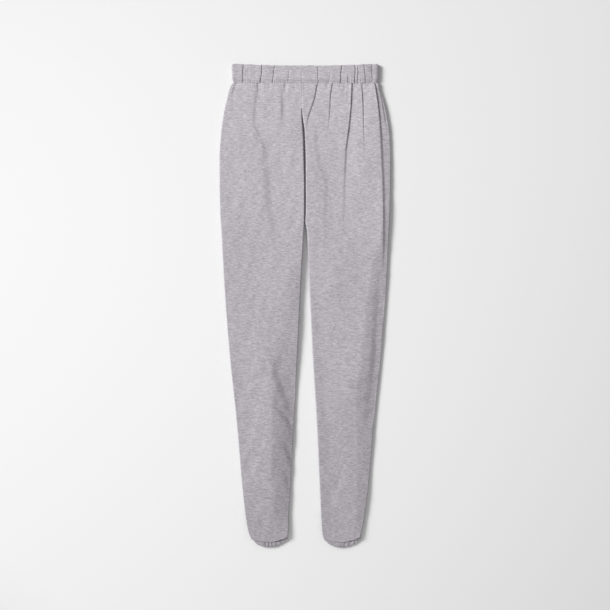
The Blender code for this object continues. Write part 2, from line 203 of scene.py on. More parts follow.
# Drops of the rows, closer together at the gathers, at the knee folds and at the hem.
Span = namedtuple("Span", "start end step")
FRONT_SPANS = [
    Span(BAND_HEIGHT, 0.07, 0.0016),
    Span(0.07, 0.16, 0.0026),
    Span(0.16, 0.56, 0.004),
    Span(0.56, 0.92, 0.0032),
    Span(0.92, 0.9935, 0.0026),
]
BACK_SPANS = [Span(BAND_HEIGHT, 0.07, 0.002), Span(0.07, 0.96, 0.0045)]


def metres(*numbers):
    """Numbers that are given in millimetres."""
    return [round(number / 1000, 6) for number in numbers]


def in_metres(kind, rows):
    return [kind(*metres(*row)) for row in rows]


# The outline from above, as in the CAD model: X of each leg's two edges, in millimetres.
Station = namedtuple("Station", "drop right_outer right_inner left_inner left_outer")
OUTLINE = in_metres(Station, [
    (38, -149.5, -6, -6, 154),
    (52, -158.5, -6.3, -6.3, 157.2),
    (75, -164, -6.3, -6.3, 164),
    (100, -170, -6, -6, 170.2),
    (150, -176.5, -2.5, -2.5, 178),
    (200, -179.6, -1, -1, 179.8),
    (300, -178.5, -0.6, -0.6, 178.5),
    (330, -177, -0.8, -0.2, 177.5),
    (352, -175.5, -2.2, 4, 176.4),
    (452, -170, -7.8, 8.4, 171.6),
    (603, -158.6, -15.1, 15.5, 160),
    (754, -142.8, -23.1, 24.6, 144.5),
    (905, -129.6, -31.1, 31.5, 131.3),
    (955, -123.3, -34, 34, 124),
    (981, -117.6, -34.4, 36.1, 119.3),
    (1001, -109.2, -36.3, 42, 113.4),
])

# Height of the front's face, and how far the centre front's edges plunge into their fold.
Level = namedtuple("Level", "drop front plunge")
LEVELS = [Level(*row) for row in [
    (0.038, 0.0104, 0.0),
    (0.06, 0.0108, 0.0),
    (0.09, 0.0108, 0.0),
    (0.1, 0.0108, 0.45),
    (0.118, 0.0108, 1.0),
    (0.3, 0.0108, 1.0),
    (0.45, 0.0116, 1.0),
    (0.6, 0.0122, 1.0),
    (0.9, 0.012, 1.0),
    (0.96, 0.011, 1.0),
    (1.001, 0.0094, 1.0),
]]

# How a leg's +X side slopes down before its edge: the width of the slope, its fall below the
# face, and how far the cloth swells above the face before it, in millimetres.
Slope = namedtuple("Slope", "drop width fall swell")
LEFT_SLOPES = in_metres(Slope, [
    (38, 12, 0.8, 0), (100, 14, 1.8, 0), (180, 14, 2.2, 0), (265, 14, 2.2, 0), (345, 16, 2.6, 0),
    (430, 34, 5.4, 0.6), (515, 40, 6.4, 1.4), (600, 42, 6.4, 1.4), (680, 44, 6.2, 1.2),
    (765, 36, 5, 0.6), (850, 28, 4.4, 0.3), (935, 22, 3.4, 0), (1000, 18, 0.8, 0),
])
RIGHT_SLOPES = in_metres(Slope, [
    (330, 12, 0, 0), (430, 18, 1.2, 0), (515, 46, 3.4, 0.4), (600, 50, 4.2, 1.8),
    (690, 50, 4.4, 4.6), (765, 46, 5.6, 5.6), (850, 42, 6, 4.6), (935, 34, 4.8, 1.4),
    (1000, 18, 0.8, 0),
])

# A fold is a line down the cloth, given here in millimetres. On one side of the line the cloth
# falls steeply, over its wall, and on the other it climbs back over its slope. Beside the wall the
# cloth stands in a ridge, and at its foot there may be a narrow slit. faces is 1 where the wall
# faces +X and -1 where it faces -X.
Fold = namedtuple("Fold", "wall slope ridge slit faces points")
At = namedtuple("At", "drop x depth")


def fold(wall, slope, ridge, faces, points, slit=0):
    return Fold(*metres(wall, slope, ridge, slit), faces, in_metres(At, points))


LEFT_FOLDS = [
    fold(2.6, 17, 0.2, 1, [
        (41, 25.8, 0.8), (48, 24, 1.5), (72, 19.8, 1.5), (90, 14, 1.2), (113, 6.6, 1), (138, 2, 0),
    ], 0.6),
    fold(3, 15, 0.2, 1, [
        (41, 57, 0.8), (48, 55.6, 1.2), (70, 52.8, 1.2), (95, 51.5, 1), (115, 50, 0.6),
        (140, 48, 0),
    ], 0.6),
    fold(1.4, 20, 0.3, 1, [
        (41, 98.6, 1), (47, 98, 1.7), (78, 96.8, 1.9), (115, 93.7, 1.8), (138, 91.4, 1.5),
        (160, 88.4, 0.9), (185, 85.4, 0),
    ], 1.6),
    fold(5.8, 18, 0.3, 1, [
        (100, 95, 0), (145, 90.3, 1), (178, 86.4, 1.9), (212, 84.5, 1.7), (260, 82.3, 0.9),
        (325, 81.1, 0.4), (370, 80.6, 0),
    ]),
    fold(2, 12, 0.2, 1, [
        (41, 118.6, 0.8), (47, 118.7, 1.4), (74, 120.6, 1.5), (110, 121.6, 1), (150, 123, 0.5),
        (200, 124.5, 0),
    ], 0.9),
    fold(1.6, 45, 0.3, 1, [
        (41, 145.6, 1.6), (50, 147.6, 2.4), (74, 151.4, 2.6), (110, 155.6, 2), (140, 158.8, 1),
        (180, 161.2, 0),
    ], 1.8),
    fold(5.6, 45, 0.4, 1, [
        (90, 153, 0), (120, 156.2, 1), (150, 159, 2.6), (200, 161.8, 3), (284, 164.8, 3),
        (360, 165.2, 2.4), (410, 164, 1), (440, 162, 0),
    ]),
    fold(2, 6, 0.1, 1, [
        (46, 154, 0.8), (74, 160, 1.6), (105, 165.6, 1.2), (140, 171.5, 0.2),
    ]),
    fold(15, 15, 0.2, 1, [
        (420, 157, 0), (470, 150, 1), (560, 145, 1.6), (615, 142, 2.2), (660, 137, 1.4),
        (730, 129, 0.8), (780, 124, 0),
    ]),
    fold(11, 20, 0.2, 1, [
        (120, 19, 0), (160, 22.5, 1.2), (210, 30, 0.9), (255, 44, 0.8), (315, 43, 0.6),
        (400, 42, 0),
    ]),
    fold(14, 20, 0.3, -1, [
        (830, 89, 0), (865, 79, 1), (905, 64, 1), (940, 52, 0),
    ]),
]
RIGHT_FOLDS = [
    fold(8, 12, 0.3, 1, [
        (38, -100, 0.8), (85, -104.5, 1), (122, -107.1, 1), (160, -91, 0.6), (200, -83, 0),
    ]),
    fold(16, 24, 0.4, 1, [
        (120, -86, 0), (206, -82.5, 1.2), (260, -80, 1.3), (330, -70, 1.2), (420, -60, 0),
    ]),
    fold(6, 10, 0.3, 1, [
        (50, -48.3, 0.6), (90, -48.3, 1), (135, -48, 0),
    ]),
    fold(17, 42, 0.6, 1, [
        (550, -76, 0), (598, -72.5, 1.2), (638, -66, 2.2), (683, -51, 3.4), (706, -42, 2.8),
        (738, -31, 0.6),
    ]),
    fold(11, 14, 1, 1, [
        (718, -62, 0.4), (730, -52, 2.2), (745, -40, 2.6), (765, -33, 1), (790, -29, 0),
    ]),
    fold(12, 16, 0.6, 1, [
        (790, -52, 0), (806, -42, 1.6), (826, -34, 2), (846, -29, 0.8),
    ]),
    fold(10, 18, 0.6, 1, [
        (850, -48, 0), (872, -40, 1.4), (900, -36, 0),
    ]),
    fold(10, 12, 0.3, -1, [
        (780, -80, 0), (796, -86, 1), (815, -88, 0),
    ]),
]

# Short gathers just under the waistband: X at the seam, lean along the drop, end and depth.
Gather = namedtuple("Gather", "x lean end depth")
GATHERS = [Gather(*row) for row in [
    (-0.144, -0.34, 0.072, 0.0014),
    (-0.0985, 0.06, 0.078, 0.0009),
    (-0.076, 0.02, 0.062, 0.0011),
    (-0.042, -0.05, 0.067, 0.0012),
    (-0.0225, -0.02, 0.064, 0.0009),
    (-0.003, 0.0, 0.07, 0.0009),
    (0.047, -0.2, 0.058, 0.0009),
    (0.0715, 0.1, 0.056, 0.0011),
    (0.083, 0.0, 0.064, 0.0015),
    (0.108, 0.0, 0.056, 0.0008),
    (0.133, 0.12, 0.062, 0.001),
]]

# Creases of the waistband: X at its top and at its seam, depth, half width, and the shares of its
# height between which the crease runs.
Crease = namedtuple("Crease", "top_x seam_x depth reach from_share to_share")
BAND_CREASES = [Crease(*row) for row in [
    (-0.1294, -0.1304, 0.0026, 0.0006, 0.05, 1.0),
    (-0.0897, -0.0935, 0.003, 0.0006, 0.0, 1.0),
    (-0.0632, -0.0689, 0.0024, 0.0006, 0.0, 1.0),
    (-0.033, -0.0345, 0.0009, 0.0008, 0.0, 0.8),
    (-0.008, -0.007, 0.0007, 0.0008, 0.0, 0.6),
    (0.0263, 0.0284, 0.0016, 0.0006, 0.0, 1.0),
    (0.052, 0.051, 0.0008, 0.0007, 0.0, 0.5),
    (0.0775, 0.0737, 0.0034, 0.0007, 0.0, 1.0),
    (0.0932, 0.0895, 0.002, 0.0006, 0.0, 0.45),
    (0.1046, 0.1044, 0.0034, 0.0006, 0.0, 1.0),
    (0.1108, 0.1104, 0.0026, 0.0006, 0.0, 0.85),
    (0.124, 0.1268, 0.0026, 0.0006, 0.0, 1.0),
    (0.1402, 0.1402, 0.0018, 0.0006, 0.1, 1.0),
    (0.149, 0.1494, 0.002, 0.0006, 0.0, 0.7),
]]
BACK_BAND_CREASES = [Crease(*row) for row in [
    (-0.13, -0.128, 0.0016, 0.0014, 0.0, 1.0),
    (-0.102, -0.1, 0.0012, 0.0014, 0.0, 0.8),
    (-0.076, -0.079, 0.0018, 0.0014, 0.0, 1.0),
    (-0.045, -0.044, 0.0012, 0.0016, 0.0, 1.0),
    (-0.016, -0.018, 0.0016, 0.0014, 0.0, 0.9),
    (0.019, 0.017, 0.0012, 0.0016, 0.0, 1.0),
    (0.04, 0.043, 0.0016, 0.0014, 0.0, 1.0),
    (0.073, 0.071, 0.0012, 0.0014, 0.0, 0.7),
    (0.096, 0.099, 0.0018, 0.0014, 0.0, 1.0),
    (0.129, 0.128, 0.0014, 0.0014, 0.0, 1.0),
]]

# The hem casings, and the share of each half width from which its pleats show.
Casing = namedtuple("Casing", "side middle half_width pleats_from")
CASINGS = [Casing("right", -0.0725, 0.0365, -0.55), Casing("left", 0.0795, 0.0380, -0.20)]


# Curves and small random forms


def smooth(share):
    share = np.clip(share, 0.0, 1.0)
    return share * share * (3 - 2 * share)


def read(rows, column, drop):
    """A table's column at any drop, on a curve through its rows that never overshoots them."""
    at = np.array([row.drop for row in rows])
    values = np.array([getattr(row, column) for row in rows])
    secants = np.diff(values) / np.diff(at)
    slopes = np.zeros_like(values)
    slopes[0], slopes[-1] = secants[0], secants[-1]
    before, after = secants[:-1], secants[1:]
    product = before * after
    total = np.where(product > 0, before + after, 1.0)
    slopes[1:-1] = np.where(product > 0, 2 * product / total, 0.0)
    drop = np.clip(drop, at[0], at[-1])
    i = np.clip(np.searchsorted(at, drop, side="right") - 1, 0, len(at) - 2)
    step = at[i + 1] - at[i]
    t = (drop - at[i]) / step
    ends = (2 * t**3 - 3 * t**2 + 1) * values[i] + (3 * t**2 - 2 * t**3) * values[i + 1]
    turns = (t**3 - 2 * t**2 + t) * slopes[i] + (t**3 - t**2) * slopes[i + 1]
    return ends + step * turns


def ripples(x, y, seed, shortest, longest, stretch=1.0, count=20):
    """A smooth uneven field of about unit size, whose waves are longer along Y by stretch."""
    draw = np.random.default_rng(seed)
    total = np.zeros(np.broadcast(x, y).shape)
    for _ in range(count):
        length = shortest * (longest / shortest) ** draw.random()
        heading, phase = draw.random(2) * math.tau
        along = x * math.cos(heading) + y * math.sin(heading) / stretch
        total += np.sin(along * math.tau / length + phase)
    return total / math.sqrt(count / 2)


def puckers(x, seed, pitch):
    """Uneven waves along X, about one for each pitch, from 0 to 1."""
    draw = np.random.default_rng(seed)
    knots = np.arange(-0.20, 0.20, pitch)
    phases = np.cumsum(0.55 + 0.9 * draw.random(len(knots)))
    heights = 0.25 + 0.75 * draw.random(len(knots))
    phase = np.interp(x, knots, phases)
    return (0.5 - 0.5 * np.cos(phase * math.tau)) * np.interp(x, knots, heights)


# The front and back panels


def edges(side, drop):
    inner = read(OUTLINE, side + "_inner", drop)
    outer = read(OUTLINE, side + "_outer", drop)
    gap = SEAM_GAP / 2
    if side == "right":
        return outer, inner - gap
    return inner + gap, outer


def front_edges(side, drop):
    """A front's edges from above, parted along the fold at the centre front."""
    low, high = edges(side, drop)
    if side == "right":
        along = (drop - RIGHT_PARTING.middle) / RIGHT_PARTING.half_length
        return low, high - RIGHT_PARTING.width * np.exp(-(along**4))
    opening = smooth((drop - LEFT_PARTING.start) / LEFT_PARTING.opens)
    closing = smooth((LEFT_PARTING.end - drop) / LEFT_PARTING.closes)
    return low + LEFT_PARTING.width * opening * closing, high


def casing_of(side):
    return CASINGS[0] if side == "right" else CASINGS[1]


def back_edges(side, drop):
    low, high = edges(side, drop)
    casing = casing_of(side)
    gathered = smooth((drop - GATHER_DROP) / GATHER_LENGTH)
    low = low + (casing.middle - casing.half_width - low) * gathered
    high = high + (casing.middle + casing.half_width - high) * gathered
    return low, high


def fold_across(fold, x, drop):
    """Distance from a fold's line, positive on the side of its slope, and its depth there."""
    line = read(fold.points, "x", drop)
    ahead = read(fold.points, "x", drop + MM)
    behind = read(fold.points, "x", drop - MM)
    lean = (ahead - behind) / (2 * MM)
    depth = read(fold.points, "depth", drop)
    first, last = fold.points[0].drop, fold.points[-1].drop
    start, end = smooth((drop - first) / FOLD_FADE + 1), smooth((last - drop) / FOLD_FADE + 1)
    depth = depth * start * end
    return fold.faces * (x - line) / np.sqrt(1 + lean**2), depth


def fold_form(fold, x, drop):
    """What a fold adds to the height of the face."""
    across, depth = fold_across(fold, x, drop)
    fall = smooth(across / fold.wall + 0.5)
    climb = np.exp(-((np.maximum(across - fold.wall * 0.3, 0) / fold.slope) ** 1.5))
    deepest = max(point.depth for point in fold.points)
    beside = np.exp(-(((across + fold.wall) / (1.6 * fold.wall)) ** 2))
    ridge = fold.ridge * depth / deepest * beside
    slit = np.exp(-(((across - 0.5 * fold.wall) / SLIT_WIDTH) ** 4))
    return ridge - depth * fall * climb - fold.slit * depth / deepest * slit


def slope_form(slopes, x, drop, low, high):
    """The broad swell of a leg, and how far its +X side has sloped down."""
    width = read(slopes, "width", drop)
    swell = read(slopes, "swell", drop)
    share = np.clip((x - (high - width)) / width, 0, 1)
    climb = smooth((x - low) / (high - width - low))
    return swell * climb - (read(slopes, "fall", drop) + swell) * share**1.25


def strength(column, x):
    places, values = [row.x for row in STRENGTHS], [getattr(row, column) for row in STRENGTHS]
    return np.interp(x, places, values)


def seam_puckers(x):
    """Tiny pleats along the waistband's seam, the same above it and below it."""
    return strength("fine", x) * puckers(x, SEEDS["waist_puckers"], PUCKER_PITCH)


def seam_scallops(x, from_seam):
    """How far the gathers push the waistband's seam up and down."""
    waves = puckers(x, SEEDS["waist_puckers"], PUCKER_PITCH) - 0.5
    return SCALLOP_HEIGHT * waves * np.exp(-np.abs(from_seam) / SCALLOP_REACH)


def waist_gathers(x, drop):
    """Puckers of the cloth where the elastic draws it in."""
    from_seam = np.maximum(drop - BAND_HEIGHT, 0.0)
    fine = PUCKER_DEPTH * seam_puckers(x + PUCKER_LEAN * from_seam)
    fine = fine * np.exp(-from_seam / PUCKER_REACH)
    broad = BROAD_DEPTH * strength("broad", x) * puckers(x, SEEDS["waist_gathers"], BROAD_PITCH)
    broad = broad * np.exp(-((from_seam / BROAD_REACH) ** 1.5))
    total = -fine - broad
    for gather in GATHERS:
        line = gather.x + gather.lean * from_seam
        run = smooth((gather.end - drop) / (0.6 * (gather.end - BAND_HEIGHT)))
        across = (x - line) / GATHER_WIDTH
        dent = np.where(across > 0, np.exp(-((across / 3.5) ** 2)), np.exp(-(across**2)))
        total = total - GATHER_SHARE * gather.depth * run * dent
    return total


def hem_gathers(side, x, drop):
    height, pitch, reach = HEM_PUCKERS
    nearness = np.exp(-(((HEM_DROP - drop) / reach) ** 2))
    return (puckers(x, SEEDS["hem_" + side], pitch) - 0.5) * height * nearness


def front_face(side, x, drop, low, high):
    """Height of the front's face, before its edges turn down."""
    right = side == "right"
    height = read(LEVELS, "front", drop)
    for fold in RIGHT_FOLDS if right else LEFT_FOLDS:
        height = height + fold_form(fold, x, drop)
    height = height + slope_form(RIGHT_SLOPES if right else LEFT_SLOPES, x, drop, low, high)
    height = height + waist_gathers(x, drop) + hem_gathers(side, x, drop)
    if not right:
        free = past_crotch(drop) * (1 - smooth((drop - INSEAM_LIFT_TO) / INSEAM_LIFT_FADE))
        from_edge = x - read(OUTLINE, "left_inner", drop)
        inseam = np.exp(-((from_edge / INSEAM_LIFT_REACH) ** 2))
        centre = np.exp(-((from_edge / CENTRE_LIFT_REACH) ** 2))
        height = height + INSEAM_LIFT * free * inseam
        height = height - CALF_FALL * smooth((drop - CALF_FALL_FROM) / CALF_FALL_SPAN)
        height = height + CENTRE_LIFT * (1 - free) * centre
    calm = smooth((drop - CALM_FROM) / CALM_SPAN)
    for ripple in FRONT_RIPPLES:
        waves = ripples(
            x, drop, getattr(ripple, side), ripple.shortest, ripple.longest, ripple.stretch
        )
        height = height + ripple.height * calm * waves
    near_hem = smooth((drop - front_bottom(side, x)) / HEM_EVENED_SPAN + 1)
    height = height + near_hem * (HEM_FACE - height) * HEM_EVENED
    return np.maximum(height, LEAST_FRONT)


def past_crotch(drop):
    return smooth((drop - CROTCH_DROP) / CROTCH_SPAN)


# A panel's edge: the height of each face at its seam, how far the lining is tucked in there, and
# how far in from the edge the panel starts to turn.
Edge = namedtuple("Edge", "rise lining_rise tuck shoulder")


def front_edge(side, inner, drop):
    """How a front's edge turns down to its seam."""
    near_hem = smooth((drop - GATHER_DROP) / HEM_SEAM_SPAN)
    seam_rise = SEAM_RISE + (HEM_RISE - SEAM_RISE) * near_hem
    shoulders = SHOULDERS[side]
    one = np.ones_like(drop)
    if not inner:
        return Edge(seam_rise, seam_rise, CLOTH * one, shoulders.outer * one)
    free = past_crotch(drop)
    plunge = read(LEVELS, "plunge", drop)
    closed = read(LEVELS, "front", drop) - CENTRE_FALL
    centre = closed + (CENTRE_RISE - closed) * plunge
    rise = centre + (seam_rise - centre) * free
    shoulder = shoulders.centre + (shoulders.inseam - shoulders.centre) * free
    return Edge(rise, rise - CLOTH * (1 - plunge), CLOTH * plunge, shoulder)


def spaced(x, weight, count):
    """Places along x, closer together where weight is high."""
    total = np.concatenate([[0], np.cumsum((weight[1:] + weight[:-1]) / 2)])
    return np.interp(np.linspace(0, total[-1], count), total, x)


def crowded(low, high, count, folds, drop):
    """X of the columns of one row, closer together at its folds."""
    x = np.linspace(low, high, CROWD_SAMPLES)
    weight = np.ones_like(x)
    for fold in folds:
        across, _ = fold_across(fold, x, np.full_like(x, drop))
        started = smooth((drop - fold.points[0].drop) / CROWD_FADE + 1)
        keep = started * smooth((fold.points[-1].drop - drop) / CROWD_FADE + 1)
        sharp = CROWD_WALL / max(fold.wall, CROWD_WALL)
        weight += CROWDING * sharp * keep * np.exp(-((across / (1.3 * fold.wall)) ** 2))
    return spaced(x, weight, count)


def rows_along(spans):
    rows = [np.arange(span.start, span.end - span.step / 2, span.step) for span in spans]
    return np.concatenate(rows + [[spans[-1].end]])


def panel_columns(side, edges_of, edge_of, rows, count, folds):
    """X of every point of a panel, and each row's two edges."""
    low, high = edges_of(side, rows)
    low_edge = edge_of(side, side == "left", rows)
    high_edge = edge_of(side, side == "right", rows)
    round_edge = 1 - np.cos(np.linspace(0, math.pi / 2, EDGE_STEPS))
    x = np.empty((len(rows), count + 2 * EDGE_STEPS - 2))
    for r, drop in enumerate(rows):
        start, end = low[r] + low_edge.shoulder[r], high[r] - high_edge.shoulder[r]
        x[r, :EDGE_STEPS] = low[r] + low_edge.shoulder[r] * round_edge
        x[r, EDGE_STEPS - 1 : EDGE_STEPS - 1 + count] = crowded(start, end, count, folds, drop)
        x[r, -EDGE_STEPS:] = high[r] - high_edge.shoulder[r] * round_edge[::-1]
    return x, low[:, None], high[:, None], low_edge, high_edge


def turned(x, low, high, low_edge, high_edge, face, lining):
    """A panel's two faces once its edges turn down to their seams: outer Z, lining X and Z."""

    def near(distance, shoulder):
        share = np.clip(distance / shoulder[:, None], 0, 1)
        return share, 1 - np.sqrt(1 - (1 - share) ** 2)

    low_share, low_turn = near(x - low, low_edge.shoulder)
    high_share, high_turn = near(high - x, high_edge.shoulder)
    outer = face - (face - low_edge.rise[:, None]) * low_turn
    outer = outer - (face - high_edge.rise[:, None]) * high_turn
    inner = lining - (lining - low_edge.lining_rise[:, None]) * low_turn
    inner = inner - (lining - high_edge.lining_rise[:, None]) * high_turn
    inner_x = x + low_edge.tuck[:, None] * (1 - low_share)
    inner_x = inner_x - high_edge.tuck[:, None] * (1 - high_share)
    return outer, inner_x, inner


def quads_of(rows, columns, offset=0):
    index = offset + np.arange(rows * columns).reshape(rows, columns)
    return np.stack(
        [index[:-1, :-1], index[1:, :-1], index[1:, 1:], index[:-1, 1:]], axis=-1
    ).reshape(-1, 4)


def add(name, data):
    """A new object in the scene."""
    made = bpy.data.objects.new(name, data)
    bpy.context.scene.collection.objects.link(made)
    return made


def make(name, vertices, quads):
    mesh = bpy.data.meshes.new(name)
    mesh.from_pydata(np.asarray(vertices).tolist(), [], np.asarray(quads).tolist())
    mesh.update()
    mesh.shade_smooth()
    mesh.set_sharp_from_angle(angle=math.radians(60))
    return add(name, mesh)


def shell(name, outer, lining, outer_is_up):
    """A closed shell between two grids of points."""
    rows, columns = outer.shape[:2]
    count = rows * columns
    index = np.arange(count).reshape(rows, columns)
    rim = np.concatenate([index[:, 0], index[-1, 1:], index[-2::-1, -1], index[0, -2:0:-1]])
    after = np.roll(rim, -1)
    sides = np.stack([after, rim, rim + count, after + count], axis=-1)
    quads = np.concatenate(
        [quads_of(rows, columns), quads_of(rows, columns, count)[:, ::-1], sides]
    )
    if not outer_is_up:
        quads = quads[:, ::-1]
    return make(name, np.concatenate([outer.reshape(-1, 3), lining.reshape(-1, 3)]), quads)


def points(x, drop, z):
    return np.stack(np.broadcast_arrays(x, TOP_Y - drop, z), axis=-1)


def hem_share(side, x):
    """Place across a leg's hem, from -1 to 1."""
    casing = casing_of(side)
    return np.clip((x - casing.middle) / casing.half_width, -1.0, 1.0)


def hem_reach(side, x):
    """How far a front's bottom edge rolls down: hardly at its -X end, more at its +X end."""
    least, more = HEM_ROLLS
    return least + more * smooth((hem_share(side, x) + 0.4) / 1.1)


def front_bottom(side, x):
    """Drop of a front's bottom edge, in an arch above the casing."""
    across = hem_share(side, x)
    arch = FRONT_FOOT - FRONT_ARCHES[1] * np.maximum(0, across) ** 2
    arch = arch - FRONT_ARCHES[0] * np.maximum(0, -across) ** 3
    return arch + FRONT_WAVER * ripples(x, 0.0, SEEDS["front_hem"], 0.012, 0.03)


def front_panel(side):
    folds = RIGHT_FOLDS if side == "right" else LEFT_FOLDS
    rows = rows_along(FRONT_SPANS)
    x, low, high, low_edge, high_edge = panel_columns(
        side, front_edges, front_edge, rows, FRONT_COLUMNS, folds
    )
    bottom = front_bottom(side, x)
    near = smooth((rows[:, None] - GATHER_DROP) / (rows[-1] - GATHER_DROP))
    reach = hem_reach(side, x[-1])
    drop = rows[:, None] + (bottom - reach - rows[-1]) * near
    drop = drop + seam_scallops(x, drop - BAND_HEIGHT)
    face = front_face(side, x, drop, low, high)
    outer, lining_x, lining = turned(x, low, high, low_edge, high_edge, face, face - CLOTH)
    outer, lining = list(points(x, drop, outer)), list(points(lining_x, drop, lining))
    crack = smooth((hem_share(side, x[-1]) + 0.35) / 0.9)
    ends = smooth((1 - np.abs(hem_share(side, x[-1]))) / 0.06)
    outer_tip = HEM_RISE + (HEM_FACE - HEM_FLUSH_FALL - HEM_RISE) * (1 - crack) * ends
    for angle in np.linspace(78, 0, 9):
        turn = math.radians(angle)
        for rows_of, thickness, tip in ((outer, 0.0, outer_tip), (lining, CLOTH, HEM_RISE)):
            last = rows_of[len(rows) - 1]
            y = last[:, 1] - (reach - thickness) * math.cos(turn)
            z = tip + (last[:, 2] - tip) * math.sin(turn)
            rows_of.append(np.stack([last[:, 0], y, z], axis=-1))
    return shell("front_cloth_" + side, np.array(outer), np.array(lining), outer_is_up=True)


# Folds of the back, as the front's, seen from below.
BACK_LEFT_FOLDS = [
    fold(6, 10, 0, 1, [
        (38, 20, 1), (70, 23, 1.3), (120, 30, 0),
    ]),
    fold(6, 12, 0, -1, [
        (38, 64, 1.1), (90, 60, 1.4), (180, 54, 0),
    ]),
    fold(6, 12, 0, 1, [
        (38, 108, 1.1), (100, 113, 1.4), (220, 118, 0),
    ]),
    fold(12, 24, 0, -1, [
        (300, 30, 0), (345, 50, 1.2), (390, 86, 0),
    ]),
    fold(12, 26, 0, 1, [
        (600, 50, 0), (660, 66, 1.3), (720, 96, 0),
    ]),
    fold(12, 26, 0, -1, [
        (790, 100, 0), (840, 84, 1.1), (900, 70, 0),
    ]),
]
BACK_RIGHT_FOLDS = [
    fold(6, 10, 0, -1, [
        (38, -30, 1.1), (80, -34, 1.3), (140, -42, 0),
    ]),
    fold(6, 12, 0, 1, [
        (38, -76, 1), (90, -73, 1.4), (190, -68, 0),
    ]),
    fold(6, 12, 0, -1, [
        (38, -122, 1.2), (100, -126, 1.3), (170, -131, 0),
    ]),
    fold(12, 24, 0, 1, [
        (310, -32, 0), (350, -56, 1.2), (400, -90, 0),
    ]),
    fold(12, 26, 0, -1, [
        (560, -56, 0), (640, -76, 1.3), (700, -104, 0),
    ]),
    fold(12, 26, 0, 1, [
        (760, -98, 0), (820, -80, 1.1), (880, -64, 0),
    ]),
]


def back_edge(_side, inner, drop):
    """How a back's edge turns up to its seam, the same on both sides."""
    free = past_crotch(drop) if inner else np.ones_like(drop)
    rise = (SEAM_RISE - SEAM_GAP) * free
    return Edge(rise, rise + CLOTH * (1 - free), CLOTH * free, np.full_like(drop, BACK_SHOULDER))


def back_panel(side):
    folds = BACK_RIGHT_FOLDS if side == "right" else BACK_LEFT_FOLDS
    casing = casing_of(side)
    rows = rows_along(BACK_SPANS)
    x, low, high, low_edge, high_edge = panel_columns(
        side, back_edges, back_edge, rows, BACK_COLUMNS, folds
    )
    drop = rows[:, None] + seam_scallops(x, rows[:, None] - BAND_HEIGHT)
    lift = sum(-fold_form(fold, x, drop) for fold in folds)
    from_seam = drop - BAND_HEIGHT
    gathers = puckers(x, SEEDS["back_gathers"], 0.0090) * np.exp(-from_seam / 0.014)
    lift = lift + gathers * 0.0011
    waves = ripples(x, drop, SEEDS["back_ripples"], 0.03, 0.10, 1.4)
    lift = lift + 0.00025 * (1 + waves) * smooth(from_seam / 0.05)
    face = np.clip(lift, 0.0, BACK_MOST)
    outer, lining_x, lining = turned(
        x, low, high, low_edge, high_edge, face, np.full_like(face, CLOTH)
    )
    outer, lining = list(points(x, drop, outer)), list(points(lining_x, drop, lining))
    end_low, end_high = back_edges(side, np.array([GATHER_DROP + GATHER_LENGTH]))
    for share in (0.34, 0.67, 1.0):
        for rows_of in (outer, lining):
            last = rows_of[len(rows) - 1]
            across = (last[:, 0] - low[-1]) / (high[-1] - low[-1])
            at = end_low[0] + (end_high[0] - end_low[0]) * across
            at = last[:, 0] + (at - last[:, 0]) * share
            seam = casing_drop(casing, at) - CASING_HEIGHT - SEAM_GAP
            y = last[:, 1] + (TOP_Y - seam - last[:, 1]) * share
            rows_of.append(np.stack([at, y, last[:, 2]], axis=-1))
    return shell("back_cloth_" + side, np.array(outer), np.array(lining), outer_is_up=False)


# Rings of doubled cloth on elastic


def flattened_loop(ends, bottom, top, radii, front_shares, back_shares, end_count):
    """A flattened ring seen along the leg: X, Z, and how much each point belongs to the front
    face and to the back face, from 0 to 1. Its two ends are rounded over radii."""
    rise, middle = (top - bottom) / 2, (top + bottom) / 2
    start, end = ends[0] + radii[0], ends[1] - radii[1]
    turn = np.linspace(math.pi / 2, -math.pi / 2, end_count + 2)[1:-1]
    front_x = start + (end - start) * front_shares
    back_x = end + (start - end) * back_shares
    x = np.concatenate([
        front_x, end + radii[1] * np.cos(turn), back_x, start - radii[0] * np.cos(turn[::-1])
    ])
    z = np.concatenate([
        np.full(len(front_x), top),
        middle + rise * np.sin(turn),
        np.full(len(back_x), bottom),
        middle + rise * np.sin(turn[::-1]),
    ])
    ease = smooth((np.minimum(front_x - start, end - front_x)) / 0.003)
    on_front = np.concatenate([ease, 0 * turn, 0 * back_x, 0 * turn])
    ease = smooth((np.minimum(back_x - start, end - back_x)) / 0.003)
    on_back = np.concatenate([0 * front_x, 0 * turn, ease, 0 * turn])
    return x, z, on_front, on_back


def ring(name, loops):
    """A closed shell from loops that run up its outside, over its rim and down its inside."""
    loops = np.array(loops)
    count, around = loops.shape[:2]
    here = np.arange(count * around).reshape(count, around)
    there = np.roll(here, -1, axis=0)
    quads = np.stack([here, np.roll(here, -1, axis=1), np.roll(there, -1, axis=1), there], axis=-1)
    return make(name, loops.reshape(-1, 3), quads.reshape(-1, 4))


def rounded_section(height_steps, rim_steps, low_rim, high_rim):
    """(share of the height, share through the wall) round a wall whose two rims are rounded."""
    up = [(v, 0.0) for v in np.linspace(low_rim, 1 - high_rim, height_steps)]
    turns = np.linspace(0, math.pi, rim_steps + 2)[1:-1]
    over = [(1 - high_rim + high_rim * math.sin(a), (1 - math.cos(a)) / 2) for a in turns]
    down = [(v, 1.0) for v in np.linspace(1 - high_rim, low_rim, max(4, height_steps // 4))]
    under = [(low_rim - low_rim * math.sin(a), (1 + math.cos(a)) / 2) for a in turns]
    return up + over + down + under


def crease_line(crease, v):
    wander = 0.0005 * math.sin(7 * v + 90 * crease.seam_x)
    return crease.seam_x + (crease.top_x - crease.seam_x) * v + wander


